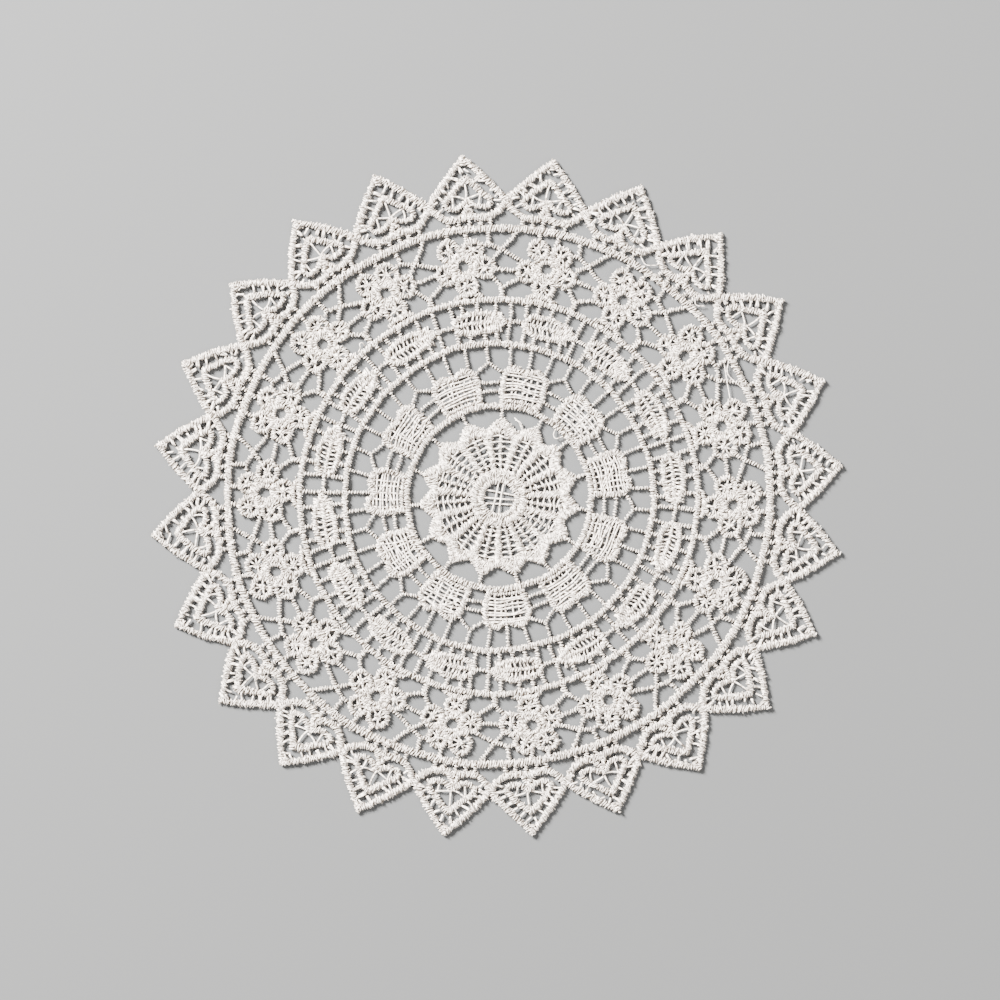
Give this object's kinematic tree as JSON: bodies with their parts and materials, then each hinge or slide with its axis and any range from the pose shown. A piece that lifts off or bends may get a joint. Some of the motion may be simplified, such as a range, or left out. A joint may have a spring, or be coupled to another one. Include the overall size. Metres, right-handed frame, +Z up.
{
  "type": "lace doily",
  "caption": "Round flat openwork lace doily with concentric rings, figures between them and a pointed edge of hearts.",
  "frame": {"origin": "centre of the bounding box, on the surface the doily lies on", "axes": "+Z up through the thin way of the lace, +X to the right and +Y away from the viewer with the right side up"},
  "size_m": [0.1508, 0.1484, 0.0012],
  "materials": {
    "cotton_lace": "off-white mercerised cotton thread, stitched, with a soft sheen"
  },
  "bodies": {
    "root": {"doily": "cotton_lace"}
  },
  "joints": []
}
